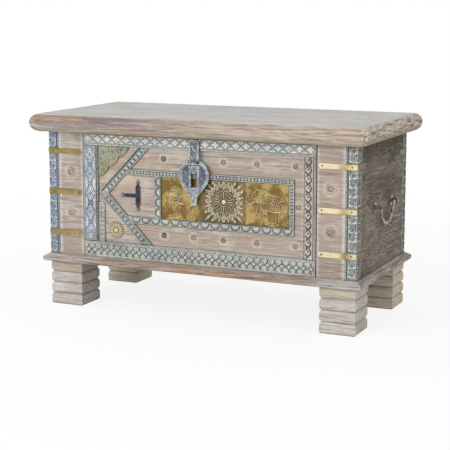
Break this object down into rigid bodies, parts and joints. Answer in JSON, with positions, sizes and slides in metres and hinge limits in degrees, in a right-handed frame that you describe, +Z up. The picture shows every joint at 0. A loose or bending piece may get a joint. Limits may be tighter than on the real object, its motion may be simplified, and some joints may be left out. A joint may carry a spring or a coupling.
{
  "type": "dowry chest",
  "caption": "Rectangular wooden chest with a carved and brass plated front, hinged lid with a hanging hasp, bail handles on both ends and layered square feet.",
  "frame": {"origin": "on the floor under the middle of the chest's outline box", "axes": "+X along the length towards the right end as seen from the front, +Y towards the back, +Z up"},
  "size_m": [0.976, 0.481, 0.538],
  "materials": {
    "lid_wood": "limed matt",
    "batten_wood": "raw",
    "stile_wood": "limed matt",
    "carved_wood": "painted and worn",
    "leaf_wood": "painted and worn",
    "panel_wood": "scraped paint",
    "base_wood": "limed matt",
    "foot_wood": "limed matt",
    "brass": "aged",
    "iron": "dark",
    "grey_iron": "galvanised"
  },
  "bodies": {
    "chest": {"back_board": "panel_wood", "base_moulding_back": "base_wood", "base_moulding_front": "base_wood", "base_moulding_left": "base_wood", "base_moulding_right": "base_wood", "bottom_board": "panel_wood", "brass_plate_centre": "brass", "brass_plate_left": "brass", "brass_plate_right": "brass", "brass_straps_back_left": "brass", "brass_straps_back_right": "brass", "brass_straps_front_left": "brass", "brass_straps_front_right": "brass", "carved_rail_bottom": "carved_wood", "carved_rail_top": "carved_wood", "carved_stile_left": "carved_wood", "carved_stile_right": "carved_wood", "chevron_lower": "carved_wood", "chevron_upper": "carved_wood", "circle_strip": "carved_wood", "corner_post_back_left": "carved_wood", "corner_post_back_right": "carved_wood", "corner_post_front_left": "carved_wood", "corner_post_front_right": "carved_wood", "field_rosettes": "carved_wood", "foot_back_left": "foot_wood", "foot_back_right": "foot_wood", "foot_front_left": "foot_wood", "foot_front_right": "foot_wood", "front_board": "stile_wood", "front_stile_left": "stile_wood", "front_stile_right": "stile_wood", "handle_eyes_left": "grey_iron", "handle_eyes_right": "grey_iron", "hasp_staple": "grey_iron", "hinge_body_leaves": "iron", "hinge_pins": "iron", "inner_strip_bottom": "carved_wood", "inner_strip_left": "carved_wood", "inner_strip_right": "carved_wood", "inner_strip_top": "carved_wood", "iron_ornament": "iron", "iron_studs": "iron", "leaf_spandrel": "leaf_wood", "side_board_left": "panel_wood", "side_board_right": "panel_wood", "stile_rosettes": "carved_wood", "sunflower_boss": "carved_wood"},
    "lid": {"lid_panel": "lid_wood", "lid_batten_left": "batten_wood", "lid_batten_right": "batten_wood", "hinge_lid_leaves": "iron", "hasp_hanger": "grey_iron", "hasp_hanger_pin": "grey_iron"},
    "strap": {"hasp_strap": "grey_iron"},
    "disc": {"hasp_disc": "grey_iron"},
    "bail_left": {"handle_bail_left": "grey_iron"},
    "bail_right": {"handle_bail_right": "grey_iron"}
  },
  "joints": [
    {"name": "lid_hinge", "type": "hinge", "parent": "chest", "child": "lid", "pos_m": [0, 0.2195, 0.4858], "axis": [-1, 0, 0], "range_deg": [0, 100]},
    {"name": "hasp_swing", "type": "hinge", "parent": "lid", "child": "strap", "pos_m": [0, -0.2055, 0.4825], "axis": [-1, 0, 0], "range_deg": [0, 90]},
    {"name": "disc_swing", "type": "hinge", "parent": "strap", "child": "disc", "pos_m": [0, -0.2055, 0.419], "axis": [-1, 0, 0], "range_deg": [0, 100]},
    {"name": "handle_left_swing", "type": "hinge", "parent": "chest", "child": "bail_left", "pos_m": [-0.463, 0.0075, 0.314], "axis": [0, 1, 0], "range_deg": [0, 90]},
    {"name": "handle_right_swing", "type": "hinge", "parent": "chest", "child": "bail_right", "pos_m": [0.463, 0.0075, 0.314], "axis": [0, -1, 0], "range_deg": [0, 90]}
  ]
}
